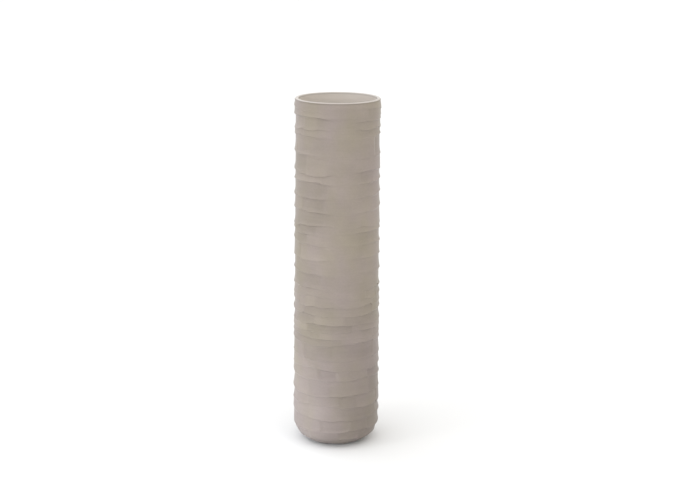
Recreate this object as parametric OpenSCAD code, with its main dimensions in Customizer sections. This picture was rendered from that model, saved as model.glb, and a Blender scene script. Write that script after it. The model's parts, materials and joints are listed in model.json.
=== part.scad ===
// Tall cylinder vase in cased glass. A pale inner core with a heavy base is covered by an
// outer casing of coloured glass, and the casing is cut by hand into shallow level bands.
// The lip is ground to a bevel that runs out through the casing and shows the pale core.
// The origin is the centre of the flat ground foot, +Z runs up the axis, and units are mm.

/* [Body] */
// Height from the ground foot to the top of the lip
height = 600; // [400:10:700]
// Outside diameter of the casing where it ends at the lip
lip_d = 144; // [120:1:160]
// Outside diameter just above the rounded foot, over the ridges
foot_d = 150.4; // [130:0.2:160]
// How far the rounded foot curves in towards the flat ground face
foot_curve_w = 35; // [20:1:40]
// How far the rounded foot rises up the side
foot_curve_h = 41; // [20:1:50]

/* [Glass layers] */
// Thickness of the coloured casing, measured at a ridge
casing_t = 2.25; // [2:0.25:4]
// Thickness of the inner core below the lip
core_t = 4; // [3:0.25:8]
// Depth of glass from the ground foot to the floor of the bore
base_t = 26; // [15:1:40]
// Radius between the floor of the bore and its wall
bore_corner_r = 10; // [5:1:25]

/* [Lip] */
// Width and height of the bevel that is ground on the core
lip_bevel = 1; // [0.5:0.1:3]
// Radius on the inner edge of the lip
lip_edge_r = 1.6; // [0.5:0.1:2]
// Thickness of the casing where it meets the bevel
casing_lip_t = 0.8; // [0.4:0.1:1.2]
// Height of the casing's own ground edge
casing_lip_h = 1.2; // [0.5:0.1:2]
// Height of the wide band left proud below the lip
collar_h = 17; // [10:1:30]
// How far that band stands proud of the side
collar_out = 1; // [0:0.1:1]

/* [Hand cutting] */
// Mean height of one cut band
band_h = 20; // [10:1:35]
// How unevenly the bands are spaced
band_spread = 0.45; // [0:0.05:0.7]
// Depth of the deepest cut below the ridges
cut_depth = 1.3; // [0.4:0.1:1.6]
// Cuts around the curve of the foot
foot_cuts = 8; // [5:1:12]
// Number that chooses one run of spacings and depths
hand = 11; // [1:1:99]

/* [Hidden] */
round_fn = 120;
lip_steps = 5;
curve_steps = 12;
shallow_share = 0.35; // the shallowest cut, as a share of cut_depth
collar_dip = 0.4; // how hollow the proud band is, as a share of cut_depth
flat_r = foot_d / 2 - foot_curve_w;
bore_r = lip_d / 2 - casing_t - core_t;
casing_top = height - lip_bevel - casing_lip_h;
collar_top = casing_top - collar_h / 2;
bands_z0 = foot_curve_h;
bands_z1 = collar_top - collar_h;
band_count = round((bands_z1 - bands_z0) / band_h);
band_share = rands(1 - band_spread, 1 + band_spread, band_count, hand);
band_depth = rands(shallow_share * cut_depth, cut_depth, band_count, hand + 1);

// Sum of the first n values of a list
function sum(list, n) = n <= 0 ? 0 : list[n - 1] + sum(list, n - 1);

// Height of ridge i, counted from the foot
function ridge_z(i) =
    bands_z0 + (bands_z1 - bands_z0) * sum(band_share, i) / sum(band_share, band_count);

// Outside radius over the ridges at height z, which tapers slightly to the lip
function side_r(z) =
    (foot_d + (lip_d - foot_d) * (z - bands_z0) / (casing_top - bands_z0)) / 2;

// Quarter ellipse about (cx, cz): from straight down round to straight outwards
function foot_arc(cx, cz, rx, rz, steps) =
    [for (i = [0:steps]) let (a = 90 * i / steps) [cx + rx * sin(a), cz - rz * cos(a)]];

// Quarter circle about (cx, cz), from straight up round to straight inwards
function edge_arc(cx, cz, r) =
    [for (i = [0:lip_steps]) let (a = 90 * i / lip_steps) [cx - r * sin(a), cz + r * cos(a)]];

// The bottom of each cut and the ridge above it, for every band
function cut_side() =
    [for (i = [0:band_count - 1], ridge = [0, 1])
        let (z = ridge == 1 ? ridge_z(i + 1) : (ridge_z(i) + ridge_z(i + 1)) / 2)
        [side_r(z) - (ridge == 1 ? 0 : band_depth[i]), z]];

// The proud band, a little hollow, then the casing's edge at the lip
function collar() =
    let (mid = (bands_z1 + collar_top) / 2)
    [
        [side_r(mid) + collar_out, bands_z1 + collar_out],
        [side_r(mid) + collar_out - collar_dip * cut_depth, mid],
        [side_r(collar_top) + collar_out, collar_top],
        [side_r(collar_top) - collar_dip * cut_depth, (collar_top + casing_top) / 2],
        [side_r(casing_top), casing_top]
    ];

// The face where the two layers are fused, from the axis up to the bevel
function fused_face() = concat(
    [[0, casing_t]],
    foot_arc(flat_r, foot_curve_h, foot_curve_w - casing_t, foot_curve_h - casing_t, curve_steps),
    [
        [lip_d / 2 - casing_t, collar_top - collar_h / 2],
        [lip_d / 2 - casing_lip_t, height - lip_bevel]
    ]
);

function reversed(list) = [for (i = [len(list) - 1:-1:0]) list[i]];

// Coloured outer layer, which covers the side and the foot
module outer_casing() {
    color([0.62, 0.58, 0.53])
        rotate_extrude($fn = round_fn)
            polygon(concat(
                [[0, 0]],
                foot_arc(flat_r, foot_curve_h, foot_curve_w, foot_curve_h, foot_cuts),
                cut_side(),
                collar(),
                reversed(fused_face())
            ));
}

// Pale inner layer, with the heavy base, the straight bore and the bevelled lip
module inner_core() {
    color([0.80, 0.77, 0.72])
        rotate_extrude($fn = round_fn)
            polygon(concat(
                fused_face(),
                [[lip_d / 2 - casing_lip_t - lip_bevel, height]],
                edge_arc(bore_r + lip_edge_r, height - lip_edge_r, lip_edge_r),
                reversed(foot_arc(bore_r - bore_corner_r, base_t + bore_corner_r,
                    bore_corner_r, bore_corner_r, curve_steps)),
                [[0, base_t]]
            ));
}

outer_casing();
inner_core();
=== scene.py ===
"""Tall hand-cut vase in cased glass: a matte outer casing over a pale inner core."""
import json
import math

import bpy
import numpy as np
from mathutils import Matrix, Vector


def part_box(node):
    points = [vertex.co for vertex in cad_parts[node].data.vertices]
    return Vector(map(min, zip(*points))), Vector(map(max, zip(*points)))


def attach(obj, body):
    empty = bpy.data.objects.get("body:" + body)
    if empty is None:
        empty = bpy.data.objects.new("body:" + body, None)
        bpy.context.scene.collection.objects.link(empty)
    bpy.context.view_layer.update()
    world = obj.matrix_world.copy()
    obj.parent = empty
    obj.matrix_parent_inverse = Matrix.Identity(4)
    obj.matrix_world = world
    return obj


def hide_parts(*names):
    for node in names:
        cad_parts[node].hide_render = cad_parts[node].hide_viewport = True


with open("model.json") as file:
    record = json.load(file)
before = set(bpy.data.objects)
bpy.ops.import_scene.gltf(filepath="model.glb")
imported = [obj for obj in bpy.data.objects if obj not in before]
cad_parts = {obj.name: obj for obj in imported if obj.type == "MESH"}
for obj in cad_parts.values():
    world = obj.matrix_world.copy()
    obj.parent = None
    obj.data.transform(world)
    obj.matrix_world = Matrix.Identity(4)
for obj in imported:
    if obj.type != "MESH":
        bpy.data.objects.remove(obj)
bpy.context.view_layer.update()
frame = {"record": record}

MM = 0.001
SEED = 48
COLUMNS = 232  # vertices round the vase

# ---------------------------------------------------------------- sizes, in millimetres
_, casing_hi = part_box("outer_casing")
core_lo, core_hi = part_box("inner_core")
mouth = next(m for m in frame["record"]["mounts"] if m["name"] == "mouth")

HEIGHT = core_hi.z / MM
BORE_R = mouth["dims"]["r_mm"]
CORNER_R = 10.0  # between the floor of the bore and its wall
BASE_T = 26.0  # glass under the bore
CASING_T = core_lo.z / MM
BOX_MARGIN = 0.05  # keeps the ridges just inside the CAD model's box
FOOT_R = min(casing_hi.x, casing_hi.y) / MM - BOX_MARGIN
FOOT_CURVE_W = 35.0  # how far the rounded foot curves in
FOOT_CURVE_H = 41.0  # and how far up the side it goes
FLAT_R = FOOT_R - FOOT_CURVE_W
LIP_R = 72.0  # outside the casing, where its ground edge starts
LIP_BEVEL = 1.0  # on the core
LIP_EDGE_R = 1.6  # on the inner edge of the lip
CASING_LIP_T = 0.8  # the casing's own ground edge: its width
CASING_LIP_H = 1.2  # and its height
CASING_TOP = HEIGHT - LIP_BEVEL - CASING_LIP_H
COLLAR_Z = 572.0  # the wide band that stands proud below the lip starts here
COLLAR_OUT = 1.2  # how far it stands out
COLLAR_RISE = 1.5  # the collar steps out within this height
COLLAR_FALL = 6.0  # and runs back in within this height below the lip
SHORT_OF_EDGE = 0.15  # a ring of the mesh this close to an edge keeps it crisp
BEVEL_STEPS = np.array([0.06, 0.5, 0.94])  # where the rings lie across a bevel
GROUND_RINGS = np.array([6.0, 14.0, 24.0, 32.0, 37.0, 38.8])  # under the foot
FUSED_RING = 20.0  # under the base, on the face where the two layers meet
BORE_FLOOR_RINGS = [44.0, 30.0, 14.0]
WALL_ROWS = 60  # down the bore
WALL_WAVE = 0.06  # how uneven the blown wall is

# The hand cutting: level bands of short strokes, placed by a seeded rule
BANDS = 29  # from the foot's edge to the collar
BAND_SPREAD = 0.60  # how unevenly the bands are spaced
FOOT_SHARE = 0.85  # a band near the foot, as a share of the mean
TOP_SHARE = 1.10  # and a band near the collar
LEAST_BAND = 6.0  # no band is lower than this
COLLAR_SPLIT = 0.6  # where one more ridge runs round the collar
RIDGE_TILT = 2.5  # how far a ridge strays from level
STROKE_LIFT = 1.5  # how far one stroke sits above or below the next
STROKE_ARC = (0.2, 2.4)  # how far the lower edge of a stroke sags
STROKE_SLANT = 2.6  # how far one end of a stroke is above or below the other
STROKE_TURN = (22, 66)  # degrees round the vase that a stroke takes
MOST_STROKES = 24  # more than ever fit round the vase
RIDGE_RIPPLE = 0.3  # how far a ridge strays within a few degrees
STRENGTH = (0.2, 1.4)  # how hard one stroke bites, before the relief below scales it
LEAST_STRENGTH = 0.04  # and the range that it is kept to
MOST_STRENGTH = 1.7
STROKE_HOLLOW = (0.6, 1.3)  # how deep one stroke is, as a share of what its height calls for
STROKE_TILT = 0.35  # one end of a stroke is this much deeper than the other, at most
ROUNDNESS = (1.4, 3.2)  # 1 is a flat cut, and more is rounder
RIDGE_DEPTH = 0.05  # of a ridge below the uncut outline, where the strength is 1
BURR = 0.36  # how far the sharp edge of a ridge stands out
BURR_H = 1.8  # the side falls back behind it within about this height
BURR_SPAN = 12.0  # a band lower than this has a smaller burr
CUT_SLOPE = 0.066  # depth of a cut as a share of its height
FULL_CUT = 22.0  # a band higher than this isn't cut any deeper
DEEPEST = 1.9  # below the collar the casing is a little thicker than this
PEAK = 0.89  # a cut is deepest here, just below the ridge above it
# Down one strip at the front the cuts are nearly polished out, on the upper part only
STRIP_ANGLE = 9.0  # degrees to the right of the front
STRIP_WIDTH = 25.0  # degrees from its middle to where it has mostly ended
STRIP_FADE = 0.92
STRIP_FOOT = 190.0  # the strip starts at this height, where the foot's own relief ends
STRIP_RISE = 110.0  # and comes in fully within this one, as the relief near the lip does
# How much harder the cuts bite towards the foot, towards the lip, on both flanks and on one
# side, which moves round from the right at the foot to the left at the lip
FOOT_RELIEF = 0.20
TOP_RELIEF = 0.25
FLANK_RELIEF = 0.35
SIDE_RELIEF = 0.20
SIDE_TURN = 60.0  # degrees from the front
COLLAR_RELIEF = 0.35  # round the collar the cuts are nearly smooth
SMOOTH_DEPTH = 0.40  # where the relief is polished out
# Long waves in the side, which the uneven grinding leaves
WAVES = 6
WAVE_SIZE = 0.07
WAVE_LENGTH = (38, 110)
FULL_TURN = 6.28  # radians
# Where the rows of the mesh lie in a band, closer together beside the ridges
BAND_STEPS = (0, 0.04, 0.12, 0.24, 0.37, 0.50, 0.63, 0.74, 0.83, PEAK, 0.94, 0.975)

rng = np.random.default_rng(SEED)
angles = np.arange(COLUMNS) * 360.0 / COLUMNS - 180.0


def around(knots):
    """A smooth closed curve through evenly spaced knots, with one value per column."""
    count = len(knots)
    place = (angles + 180.0) / 360.0 * count
    first = np.floor(place).astype(int)
    f = place - first
    a, b, c, d = (knots[(first + k) % count] for k in (-1, 0, 1, 2))
    return 0.5 * (2 * b + (c - a) * f + (2 * a - 5 * b + 4 * c - d) * f**2
                  + (3 * b - a - 3 * c + d) * f**3)


def wander(size, knots):
    """Smooth random variation round the vase, about plus or minus size."""
    return size * around(rng.normal(size=knots))


# ---------------------------------------------------------------- the uncut outline
def outline():
    """The casing's uncut outline from the foot's edge to the lip: r and z by arc length."""
    turn = np.radians(np.linspace(0, 90, 61))
    r = FLAT_R + FOOT_CURVE_W * np.sin(turn)
    z = FOOT_CURVE_H * (1 - np.cos(turn))
    side = np.linspace(FOOT_CURVE_H, CASING_TOP, 400)[1:]
    taper = (side - FOOT_CURVE_H) / (CASING_TOP - FOOT_CURVE_H)
    rise = np.clip((side - COLLAR_Z) / COLLAR_RISE, 0, 1)
    fall = np.clip((CASING_TOP - side) / COLLAR_FALL, 0, 1)
    r = np.concatenate([r, FOOT_R + (LIP_R - FOOT_R) * taper + COLLAR_OUT * rise * fall])
    z = np.concatenate([z, side])
    along = np.concatenate([[0], np.cumsum(np.hypot(np.diff(r), np.diff(z)))])
    return along, r, z


ALONG, OUT_R, OUT_Z = outline()
NORMAL_R = np.gradient(OUT_Z, ALONG)
NORMAL_Z = -np.gradient(OUT_R, ALONG)


# ---------------------------------------------------------------- the cut bands
def ridge_levels():
    """Mean height of every ridge, from the foot up."""
    gaps = rng.uniform(1 - BAND_SPREAD, 1 + BAND_SPREAD, BANDS)
    gaps *= np.linspace(FOOT_SHARE, TOP_SHARE, BANDS)
    levels = COLLAR_Z * np.cumsum(gaps) / gaps.sum()
    return [*levels, COLLAR_Z + COLLAR_SPLIT * (CASING_TOP - COLLAR_Z)]


def strokes():
    """The separate strokes of the wheel round one band: number and place in it, per column."""
    ends = np.cumsum(rng.uniform(*STROKE_TURN, MOST_STROKES))
    ends = ends[ends < 360 - STROKE_TURN[0]]
    at = (angles - rng.uniform(-180, 180)) % 360.0
    index = np.searchsorted(ends, at)
    starts = np.concatenate([[0], ends])
    stops = np.concatenate([ends, [360]])
    place = (at - starts[index]) / (stops[index] - starts[index])
    return index, place


def per_stroke(index, low, high):
    """A random value for every stroke of a band, softened where two meet, per column."""
    value = rng.uniform(low, high, index.max() + 1)[index]
    return value / 2 + (np.roll(value, 1) + np.roll(value, -1)) / 4


def relief(level):
    """How strong the cutting is at one height, per column."""
    strip = np.exp(-(((angles - STRIP_ANGLE) / STRIP_WIDTH) ** 4))
    strip = strip * np.clip((level - STRIP_FOOT) / STRIP_RISE, 0, 1)
    foot = FOOT_RELIEF * np.clip(1 - level / STRIP_FOOT, 0, 1)
    top = TOP_RELIEF * np.clip((level - HEIGHT / 2) / STRIP_RISE, 0, 1)
    turn = SIDE_TURN * (1 - 2 * level / HEIGHT)
    side = SIDE_RELIEF * np.cos(np.radians(angles - turn))
    flank = FLANK_RELIEF * np.sin(np.radians(angles)) ** 2
    collar = COLLAR_RELIEF if level > COLLAR_Z - 1 else 1.0
    return collar * (1 + foot + top + side + flank) * (1 - STRIP_FADE * strip)


def cut_bands():
    """Every band from the foot up: its lower edge by arc length, and what its strokes do."""
    bands = []
    edge = np.zeros(COLUMNS)
    for level in [0.0, *ridge_levels()]:
        index, place = strokes()
        strength = relief(level) * per_stroke(index, *STRENGTH)
        strength = np.clip(strength, LEAST_STRENGTH, MOST_STRENGTH)
        if level > 0:
            height = level + wander(RIDGE_TILT, knots=5) + wander(RIDGE_RIPPLE, knots=60)
            height += per_stroke(index, -STROKE_LIFT, STROKE_LIFT)
            height -= per_stroke(index, *STROKE_ARC) * 4 * place * (1 - place)
            height += per_stroke(index, -STROKE_SLANT, STROKE_SLANT) * (place - 0.5)
            edge = np.maximum(np.interp(height, OUT_Z, ALONG), edge + LEAST_BAND)
        edge = np.minimum(edge, ALONG[-1] - LEAST_BAND)
        bands.append({
            "edge": edge,
            "hollow": per_stroke(index, *STROKE_HOLLOW),
            "tilt": per_stroke(index, -STROKE_TILT, STROKE_TILT) * (place - 0.5),
            "roundness": per_stroke(index, *ROUNDNESS),
            "strength": strength,
            "tone": per_stroke(index, -1, 1) * strength,
        })
    return bands


def cut_surface():
    """Rows of (arc length, depth, tone), each with one value per column."""
    bands = cut_bands()
    top = np.full(COLUMNS, ALONG[-1])
    uppers = [band["edge"] for band in bands[1:]] + [top]
    waves = [
        (wander(WAVE_SIZE, knots=8), rng.uniform(*WAVE_LENGTH), rng.uniform(0, FULL_TURN))
        for _ in range(WAVES)
    ]
    rows = []
    for band, upper in zip(bands, uppers):
        span = upper - band["edge"]
        sag = CUT_SLOPE * np.minimum(span, FULL_CUT) * band["hollow"] + band["tilt"]
        for t in BAND_STEPS:
            s = band["edge"] + span * t
            if t < PEAK:
                bow = 1 - (1 - t / PEAK) ** band["roundness"]
            else:
                bow = (1 - t) / (1 - PEAK)
            burr = BURR * np.minimum(1, span / BURR_SPAN) * (1 - np.exp(-span * t / BURR_H))
            burr = burr * min(1, (1 - t) / (1 - PEAK))
            depth = RIDGE_DEPTH + burr + sag * bow - SMOOTH_DEPTH
            depth = SMOOTH_DEPTH + depth * band["strength"]
            depth = depth + sum(size * np.sin(s / length * FULL_TURN + start)
                                for size, length, start in waves)
            rows.append((s, depth, band["tone"]))
    rows.append((top, np.zeros(COLUMNS), np.zeros(COLUMNS)))
    s, depth, tone = (np.array(x) for x in zip(*rows))
    return s, np.clip(depth, 0, DEEPEST), tone


# ---------------------------------------------------------------- meshes
def ring_mesh(name, rings, attributes=()):
    """A closed mesh from rings of points in millimetres, with a single point at each end.

    An attribute is its name and one value per point of the rings.
    """
    rings = np.asarray(rings)
    count, columns = rings.shape[:2]
    points = rings.reshape(-1, 3)
    first, last = rings[0].mean(axis=0), rings[-1].mean(axis=0)
    points = np.vstack([points, first, last]) * MM
    row, column = np.meshgrid(np.arange(count - 1), np.arange(columns), indexing="ij")
    nxt = (column + 1) % columns
    faces = np.stack([row * columns + column, row * columns + nxt,
                      (row + 1) * columns + nxt, (row + 1) * columns + column], axis=-1)
    faces = faces.reshape(-1, 4).tolist()
    start, end = count * columns, count * columns + 1
    top = (count - 1) * columns
    for c in range(columns):
        n = (c + 1) % columns
        faces.append([start, n, c])
        faces.append([end, top + c, top + n])
    mesh = bpy.data.meshes.new(name)
    mesh.from_pydata(points.tolist(), [], faces)
    for label, values in attributes:
        layer = mesh.attributes.new(label, "FLOAT", "POINT")
        flat = np.concatenate([np.asarray(values).ravel(), [0.0, 0.0]])
        layer.data.foreach_set("value", flat.astype(np.float32))
    mesh.polygons.foreach_set("use_smooth", [True] * len(mesh.polygons))
    mesh.validate()
    piece = bpy.data.objects.new(name, mesh)
    bpy.context.collection.objects.link(piece)
    return piece


def turned(r, z):
    """Rings of points from an outline; r and z hold one value, or one per column."""
    turn = np.radians(angles)
    rings = []
    for radius, height in zip(r, z):
        radius = np.broadcast_to(radius, COLUMNS)
        height = np.broadcast_to(height, COLUMNS)
        rings.append(np.stack([radius * np.sin(turn), -radius * np.cos(turn), height], axis=1))
    return rings


def fused_face():
    """Where the layers meet, from the foot up to the bevel: lists of r and z."""
    turn = np.radians(np.linspace(0, 90, 13))
    r = list(FLAT_R + (FOOT_CURVE_W - CASING_T) * np.sin(turn))
    z = list(FOOT_CURVE_H - (FOOT_CURVE_H - CASING_T) * np.cos(turn))
    r += [LIP_R - CASING_T, LIP_R - CASING_LIP_T]
    z += [COLLAR_Z - 2.0, HEIGHT - LIP_BEVEL]
    return r, z


def build_casing():
    """The cut casing, from the middle of the foot up the side and back down inside."""
    s, depth, tone = cut_surface()
    r = np.interp(s, ALONG, OUT_R) - depth * np.interp(s, ALONG, NORMAL_R)
    z = np.interp(s, ALONG, OUT_Z) - depth * np.interp(s, ALONG, NORMAL_Z)
    z = np.maximum(z, 0.0)
    edge_r = LIP_R - CASING_LIP_T * BEVEL_STEPS
    edge_z = CASING_TOP + CASING_LIP_H * BEVEL_STEPS
    inner_r, inner_z = fused_face()
    rings = (turned(GROUND_RINGS, np.zeros(len(GROUND_RINGS))) + turned(r, z)
             + turned(edge_r, edge_z) + turned(inner_r[::-1], inner_z[::-1])
             + turned([FUSED_RING], [CASING_T]))
    before = len(GROUND_RINGS)
    after = len(rings) - before - len(s)

    def padded(values):
        return np.vstack([np.zeros((before, COLUMNS)), values, np.zeros((after, COLUMNS))])

    return ring_mesh("casing", rings, [("cut", padded(depth)), ("tone", padded(tone))])


def build_core():
    """The core, from under the base up its outside, over the lip and down the bore."""
    outer_r, outer_z = fused_face()
    r = [FUSED_RING] + outer_r + list(LIP_R - CASING_LIP_T - LIP_BEVEL * BEVEL_STEPS)
    z = [CASING_T] + outer_z + list(HEIGHT - LIP_BEVEL + LIP_BEVEL * BEVEL_STEPS)
    turn = np.radians(np.linspace(0, 90, 9))
    r += [LIP_R - CASING_LIP_T - LIP_BEVEL - SHORT_OF_EDGE]
    r += list(BORE_R + LIP_EDGE_R * (1 - np.sin(turn)))
    z += [HEIGHT] + list(HEIGHT - LIP_EDGE_R * (1 - np.cos(turn)))
    wall = np.linspace(HEIGHT - 6, BASE_T + CORNER_R + 4, WALL_ROWS)
    r += [BORE_R + around(rng.normal(size=9) * WALL_WAVE) for _ in wall]
    z += list(wall)
    r += list(BORE_R - CORNER_R * (1 - np.cos(turn)))
    z += list(BASE_T + CORNER_R * (1 - np.sin(turn)))
    r += BORE_FLOOR_RINGS
    z += [BASE_T] * len(BORE_FLOOR_RINGS)
    return ring_mesh("core", turned(r, z))


# ---------------------------------------------------------------- materials
GLASS_IOR = 1.5
EDGE_SHADE = 0.82  # the casing's ground edge, against the rest of the casing: partly painted shadow under the lip, partly the deeper colour of the glass seen edge on
LIP_PAINTED_SHADE = 0.69  # painted shade on the ground lip, where its top catches the light, against the rest of the core


def new_material(name):
    """A new material, with its node tree and its shader."""
    material = bpy.data.materials.new(name)
    material.use_nodes = True
    tree = material.node_tree
    shader = tree.nodes["Principled BSDF"]
    return material, tree, shader


def node(tree, kind, inputs=(), **settings):
    """A new node; an input that is a socket is linked, and any other is set."""
    made = tree.nodes.new(kind)
    for key, value in settings.items():
        setattr(made, key, value)
    for key, value in dict(inputs).items():
        if isinstance(value, bpy.types.NodeSocket):
            tree.links.new(value, made.inputs[key])
        else:
            made.inputs[key].default_value = value
    return made


def noise(tree, place, scale, stretch=(1, 1, 1), detail=3.0, rough=0.55):
    """Noise over the surface, in features per metre; stretch squeezes it along each axis."""
    moved = node(tree, "ShaderNodeMapping", {"Vector": place, "Scale": stretch})
    made = node(tree, "ShaderNodeTexNoise", {"Vector": moved.outputs["Vector"], "Scale": scale,
                                             "Detail": detail, "Roughness": rough})
    return made.outputs["Fac"]


def ramp(tree, value, low, high, from_low=0.0, from_high=1.0):
    made = node(tree, "ShaderNodeMapRange",
                {"Value": value, "From Min": from_low, "From Max": from_high,
                 "To Min": low, "To Max": high})
    return made.outputs["Result"]


def maths(tree, operation, a, b):
    made = node(tree, "ShaderNodeMath", {0: a, 1: b}, operation=operation)
    return made.outputs["Value"]


def blend_colour(tree, factor, a, b):
    made = tree.nodes.new("ShaderNodeMix")
    made.data_type = "RGBA"
    for socket, value in ((made.inputs[0], factor), (made.inputs[6], a), (made.inputs[7], b)):
        if isinstance(value, bpy.types.NodeSocket):
            tree.links.new(value, socket)
        else:
            socket.default_value = value
    return made.outputs[2]


def height_ramp(tree, place, start, stop, low=0.0, high=1.0):
    """Goes from low to high between two heights on the object, given in millimetres."""
    split = node(tree, "ShaderNodeSeparateXYZ", {"Vector": place})
    return ramp(tree, split.outputs["Z"], low, high, start * MM, stop * MM)


def scaled_colour(tree, colour, level):
    grey = node(tree, "ShaderNodeCombineXYZ", {"X": level, "Y": level, "Z": level})
    made = node(tree, "ShaderNodeVectorMath",
                {0: colour, 1: grey.outputs["Vector"]}, operation="MULTIPLY")
    return made.outputs["Vector"]


def casing_glass():
    """Matte overlay glass with wheel marks and a cloud of two tints; painted shade in the deeper
    cuts and towards the foot, a painted floor reflection near the foot, and a darker ground edge
    that is partly painted shadow under the lip.
    """
    material, tree, shader = new_material("casing_glass")
    place = node(tree, "ShaderNodeTexCoord").outputs["Object"]
    cut = node(tree, "ShaderNodeAttribute", attribute_name="cut").outputs["Fac"]
    tone = node(tree, "ShaderNodeAttribute", attribute_name="tone").outputs["Fac"]
    cloud = noise(tree, place, 20.0, (1, 1, 1.4), detail=4.0)
    tint = noise(tree, place, 9.0, (1.6, 1.6, 1))
    streaks = noise(tree, place, 26.0, (1, 1, 16))
    grain = noise(tree, place, 1500.0, detail=2.0)
    speckle = noise(tree, place, 380.0, rough=0.7)

    mauve = (0.241, 0.204, 0.188, 1)
    olive = (0.234, 0.204, 0.164, 1)
    # painted reflection: towards the foot the colour leans to the mauve tint, for the cool light
    # the white floor throws up
    painted_floor_reflection = height_ramp(tree, place, 0.0, 220.0, -0.5, 0.0)
    mixed = maths(tree, "ADD", ramp(tree, tint, 0, 1, 0.35, 0.65), painted_floor_reflection)
    colour = blend_colour(tree, mixed, mauve, olive)
    level = maths(tree, "ADD", ramp(tree, tone, -0.05, 0.05, -1, 1),
                  ramp(tree, cloud, -0.06, 0.06, 0.25, 0.75))
    level = maths(tree, "ADD", level, ramp(tree, streaks, -0.02, 0.02, 0.3, 0.7))
    level = maths(tree, "ADD", level, ramp(tree, speckle, -0.035, 0.035, 0.3, 0.7))
    # painted shade in the deeper cuts, and a painted highlight on the shallow ground beside the
    # ridges
    level = maths(tree, "ADD", level, ramp(tree, cut, 1.03, 0.97, 0.0, DEEPEST))
    # partly painted shadow under the lip, partly the deeper colour of the glass seen edge on
    edge = height_ramp(tree, place, CASING_TOP - 0.9, CASING_TOP - 0.1, 1.0, EDGE_SHADE)
    # painted shade: darker towards the foot and lighter up the side, as the light falls
    foot = height_ramp(tree, place, 0.0, 330.0, 0.87, 1.12)
    level = maths(tree, "MULTIPLY", maths(tree, "MULTIPLY", level, edge), foot)
    tree.links.new(scaled_colour(tree, colour, level), shader.inputs["Base Color"])

    rough = maths(tree, "ADD", ramp(tree, streaks, 0.33, 0.38), ramp(tree, cloud, -0.03, 0.03))
    tree.links.new(rough, shader.inputs["Roughness"])
    height = maths(tree, "ADD", maths(tree, "MULTIPLY", streaks, 0.06),
                   maths(tree, "MULTIPLY", grain, 0.25))
    height = maths(tree, "ADD", height, cloud)
    bump = node(tree, "ShaderNodeBump", {"Height": height, "Strength": 0.5, "Distance": 0.0003})
    tree.links.new(bump.outputs["Normal"], shader.inputs["Normal"])
    shader.inputs["IOR"].default_value = GLASS_IOR
    shader.inputs["Specular IOR Level"].default_value = 0.14
    return material


def core_glass():
    """Pale satin glass, with a faint cloud, soft rings from blowing and painted shade on the
    ground lip.
    """
    material, tree, shader = new_material("core_glass")
    place = node(tree, "ShaderNodeTexCoord").outputs["Object"]
    cloud = noise(tree, place, 18.0, (1, 1, 1.5))
    rings = noise(tree, place, 10.0, (0.6, 0.6, 7))
    factor = maths(tree, "ADD", ramp(tree, cloud, 0.1, 0.5, 0.3, 0.7),
                   ramp(tree, rings, -0.1, 0.5, 0.3, 0.7))
    dull = (0.530, 0.480, 0.432, 1)
    bright = (0.595, 0.545, 0.497, 1)
    colour = blend_colour(tree, factor, dull, bright)
    # painted shade: the top of the lip darker than the rest of the core, against the light it
    # catches
    lip = height_ramp(tree, place, HEIGHT - 4.0, HEIGHT - 1.5, 1.0, LIP_PAINTED_SHADE)
    tree.links.new(scaled_colour(tree, colour, lip), shader.inputs["Base Color"])
    tree.links.new(ramp(tree, cloud, 0.32, 0.46), shader.inputs["Roughness"])
    bump = node(tree, "ShaderNodeBump", {"Height": rings, "Strength": 0.3, "Distance": 0.0006})
    tree.links.new(bump.outputs["Normal"], shader.inputs["Normal"])
    shader.inputs["IOR"].default_value = GLASS_IOR
    return material


def floor_paint():
    """Matte, nearly white and a little uneven."""
    material, tree, shader = new_material("floor_paint")
    place = node(tree, "ShaderNodeTexCoord").outputs["Object"]
    soft = noise(tree, place, 1.2)
    colour = blend_colour(tree, soft, (0.71, 0.71, 0.71, 1), (0.73, 0.73, 0.73, 1))
    tree.links.new(colour, shader.inputs["Base Color"])
    shader.inputs["Roughness"].default_value = 0.9
    shader.inputs["Specular IOR Level"].default_value = 0.1
    return material


# ---------------------------------------------------------------- stage, light and camera
# Lengths are in metres and angles in degrees from here on
FLOOR_RINGS = (0.5, 1.5, 4.0, 10.0, 25.0)
FLOOR_SIDES = 96
SKY_STRENGTH = 1.52
SKY_LEFT = (1.11, 1.13, 1.17, 1)
SKY_RIGHT = (0.79, 0.77, 0.72, 1)
CAMERA_PLACE = (0.001, -2.310, 0.918)
CAMERA_DOWN = 14.0
CAMERA_ROLL = 0.36
LENS_MM = 74.1


def build_floor():
    """A wide pale floor, a fan of rings so that its far edge is round."""
    turn = np.arange(FLOOR_SIDES) * 2 * math.pi / FLOOR_SIDES
    points = [(0.0, 0.0, 0.0)]
    points += [(r * math.sin(t), -r * math.cos(t), 0.0) for r in FLOOR_RINGS for t in turn]
    faces = [(0, 1 + c, 1 + (c + 1) % FLOOR_SIDES) for c in range(FLOOR_SIDES)]
    for row in range(len(FLOOR_RINGS) - 1):
        near, far = 1 + row * FLOOR_SIDES, 1 + (row + 1) * FLOOR_SIDES
        for c in range(FLOOR_SIDES):
            n = (c + 1) % FLOOR_SIDES
            faces.append((near + c, far + c, far + n, near + n))
    mesh = bpy.data.meshes.new("floor")
    mesh.from_pydata(points, [], faces)
    floor = bpy.data.objects.new("floor", mesh)
    bpy.context.collection.objects.link(floor)
    mesh.materials.append(floor_paint())


def area_light(name, place, aim, size, power, colour, in_reflections=True):
    """A rectangular lamp that points from one place at another and isn't seen itself."""
    data = bpy.data.lights.new(name, "AREA")
    data.shape = "RECTANGLE"
    data.size, data.size_y = size
    data.energy = power
    data.color = colour
    lamp = bpy.data.objects.new(name, data)
    bpy.context.collection.objects.link(lamp)
    lamp.location = place
    lamp.visible_camera = False
    lamp.visible_glossy = in_reflections
    lamp.rotation_mode = "QUATERNION"
    lamp.rotation_quaternion = (Vector(aim) - Vector(place)).to_track_quat("-Z", "Y")


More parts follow.
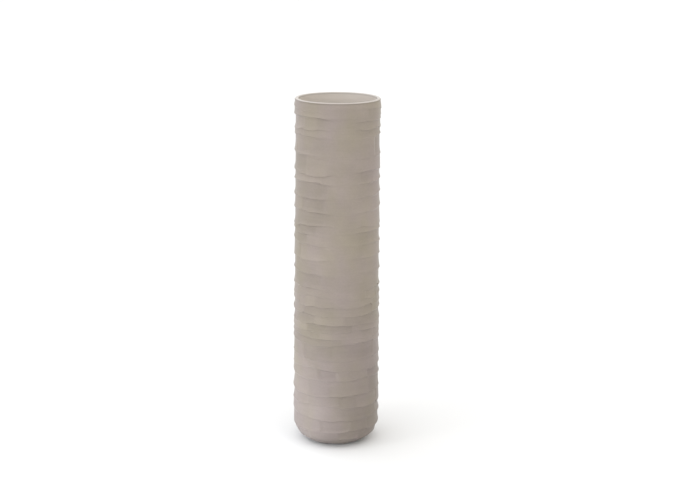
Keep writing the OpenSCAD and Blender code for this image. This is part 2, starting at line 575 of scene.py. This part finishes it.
def build_light():
    """A white tent with a softbox and a low lamp on the left, and a high lamp on each side."""
    world = bpy.data.worlds.new("studio")
    bpy.context.scene.world = world
    world.use_nodes = True
    sky = world.node_tree.nodes["Background"]
    sky.inputs["Strength"].default_value = SKY_STRENGTH
    facing = node(world.node_tree, "ShaderNodeTexCoord").outputs["Generated"]
    split = node(world.node_tree, "ShaderNodeSeparateXYZ", {"Vector": facing})
    side = ramp(world.node_tree, split.outputs["X"], 0.0, 1.0, -1.0, 1.0)
    tint = blend_colour(world.node_tree, side, SKY_LEFT, SKY_RIGHT)
    world.node_tree.links.new(tint, sky.inputs["Color"])
    area_light("key", (-0.78, -0.70, 0.62), (0, 0, 0.50), (1.7, 0.85), 1.4, (0.91, 0.95, 1.0))
    area_light("high", (-1.3, -0.7, 1.9), (0, 0, 0.4), (0.35, 0.35), 3.2, (1.0, 0.98, 0.96))
    area_light("right", (1.2, -0.8, 1.9), (0, 0, 0.4), (0.35, 0.35), 2.8, (1.0, 0.98, 0.94))
    area_light("low", (-0.21, -0.17, 0.035), (0, 0, 0.03), (0.18, 0.05), 0.36, (0.88, 0.94, 1.0),
               in_reflections=False)
    bpy.context.scene.view_settings.view_transform = "Standard"


def build_camera():
    """Looks down at the vase, from in front of it and above its lip."""
    data = bpy.data.cameras.new("camera")
    data.lens = LENS_MM
    data.clip_end = 100.0
    camera = bpy.data.objects.new("camera", data)
    bpy.context.collection.objects.link(camera)
    place = Matrix.Translation(CAMERA_PLACE)
    tilt = Matrix.Rotation(math.radians(90 - CAMERA_DOWN), 4, "X")
    roll = Matrix.Rotation(math.radians(CAMERA_ROLL), 4, "Z")
    camera.matrix_world = place @ tilt @ roll
    bpy.context.scene.camera = camera


# ---------------------------------------------------------------- the model
def add_piece(piece, material, replaced):
    """Gives a piece its material, puts it under the root body and hides the part of the CAD
    model that it replaces.
    """
    piece.data.materials.append(material)
    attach(piece, "root")
    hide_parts(replaced)


add_piece(build_casing(), casing_glass(), "outer_casing")
add_piece(build_core(), core_glass(), "inner_core")
build_floor()
build_light()
build_camera()
